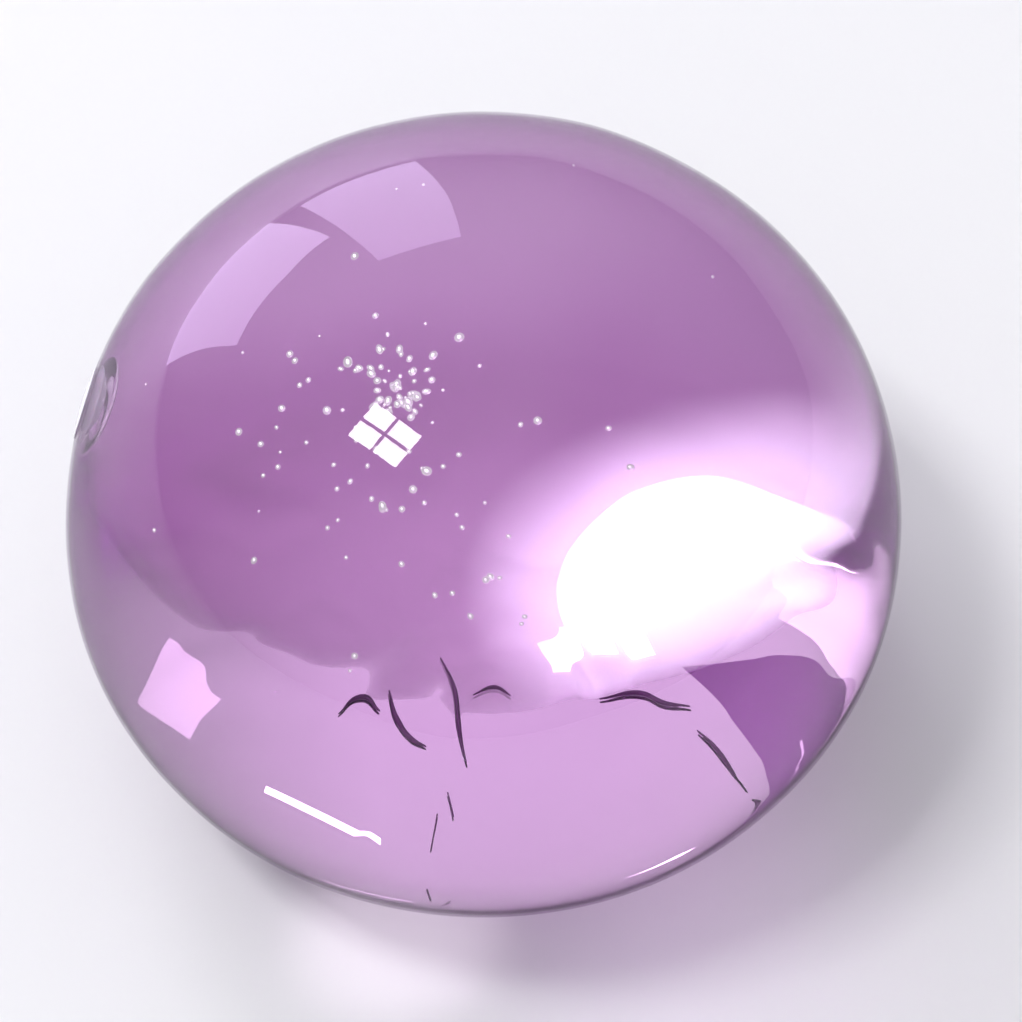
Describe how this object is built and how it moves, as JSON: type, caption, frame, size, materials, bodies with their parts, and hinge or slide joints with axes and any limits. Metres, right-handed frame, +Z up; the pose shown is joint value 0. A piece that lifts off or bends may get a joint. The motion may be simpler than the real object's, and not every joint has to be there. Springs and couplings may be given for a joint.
{
  "type": "squeeze ball",
  "caption": "Soft transparent squeeze ball: a clear moulded skin full of thick purple syrup with trapped air bubbles, closed by a glued plug, sagged to a flat patch.",
  "frame": {"origin": "centre of the flat patch that the ball rests on", "axes": "+Z up through the crown; the fill port is in the upper half on the -X side"},
  "size_m": [0.066, 0.066, 0.05],
  "materials": {
    "clear_skin": "gloss",
    "purple_syrup": "gloss",
    "plug_rubber": "satin",
    "clear_adhesive": "gloss"
  },
  "bodies": {
    "root": {"skin": "clear_skin", "filling": "purple_syrup", "fill_plug": "plug_rubber", "port_seal": "clear_adhesive"}
  },
  "joints": []
}
